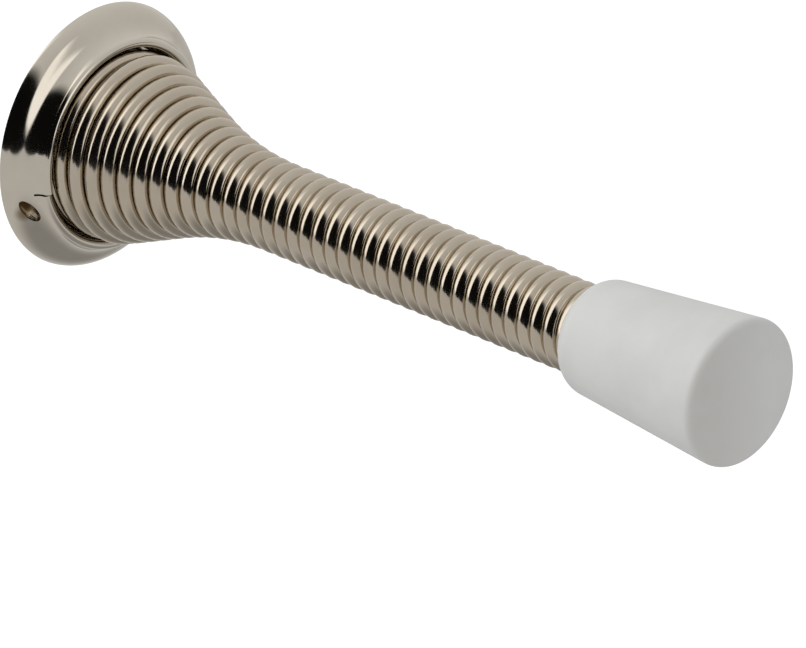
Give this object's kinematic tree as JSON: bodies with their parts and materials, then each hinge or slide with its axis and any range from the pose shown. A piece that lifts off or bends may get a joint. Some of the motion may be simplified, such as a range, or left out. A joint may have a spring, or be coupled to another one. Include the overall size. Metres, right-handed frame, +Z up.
{
  "type": "spring door stop",
  "caption": "Wall-mounted door stop: a stamped nickel-plated rose, a flared close-wound spring that bends when struck, and a tapered white rubber tip.",
  "frame": {"origin": "centre of the screw hole at the rose's back face, on the wall", "axes": "+Z up, +Y into the wall, the stop stands out of the wall along -Y"},
  "size_m": [0.025, 0.0794, 0.025],
  "materials": {
    "rose_plating": "polished satin nickel plating on pressed steel",
    "spring_plating": "polished satin nickel plating on spring wire",
    "white_rubber": "matte moulded white rubber"
  },
  "bodies": {
    "wall_rose": {"base_flange": "rose_plating"},
    "sprung_arm": {"coil_spring": "spring_plating", "rubber_tip": "white_rubber"}
  },
  "joints": [
    {"name": "spring_flex", "type": "hinge", "parent": "wall_rose", "child": "sprung_arm", "pos_m": [0, -0.02, 0], "axis": [0, 0, 1], "range_deg": [-45, 45], "stiffness_Nm_per_rad": 0.057, "deforming": ["coil_spring"]}
  ]
}
